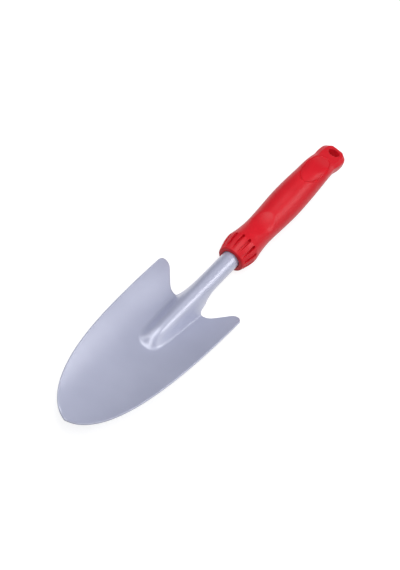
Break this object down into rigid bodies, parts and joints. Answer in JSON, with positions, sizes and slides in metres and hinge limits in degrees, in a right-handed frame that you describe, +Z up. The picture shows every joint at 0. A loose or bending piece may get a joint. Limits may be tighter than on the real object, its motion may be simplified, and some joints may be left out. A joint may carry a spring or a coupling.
{
  "type": "garden trowel",
  "caption": "Hand trowel: a dished pointed blade with swept-back ears, raised rib and rolled tubular shank, in a moulded grip with a fluted collar and a hanging hole.",
  "frame": {"origin": "on the ground, under the centre of the bounding box of the trowel as it lies on a table", "axes": "+Y from the blade's tip towards the butt, +Z up, +X to the right of someone who looks along +Y; the trowel is mirror-symmetric about the YZ plane"},
  "size_m": [0.0812, 0.368, 0.0383],
  "materials": {
    "silver_paint": "satin silver paint on pressed sheet steel",
    "red_plastic": "satin moulded red plastic",
    "plated_steel": "plain plated pin, hidden inside the grip"
  },
  "bodies": {
    "root": {"pressed_head": "silver_paint", "moulded_grip": "red_plastic", "locking_pin": "plated_steel"}
  },
  "joints": []
}
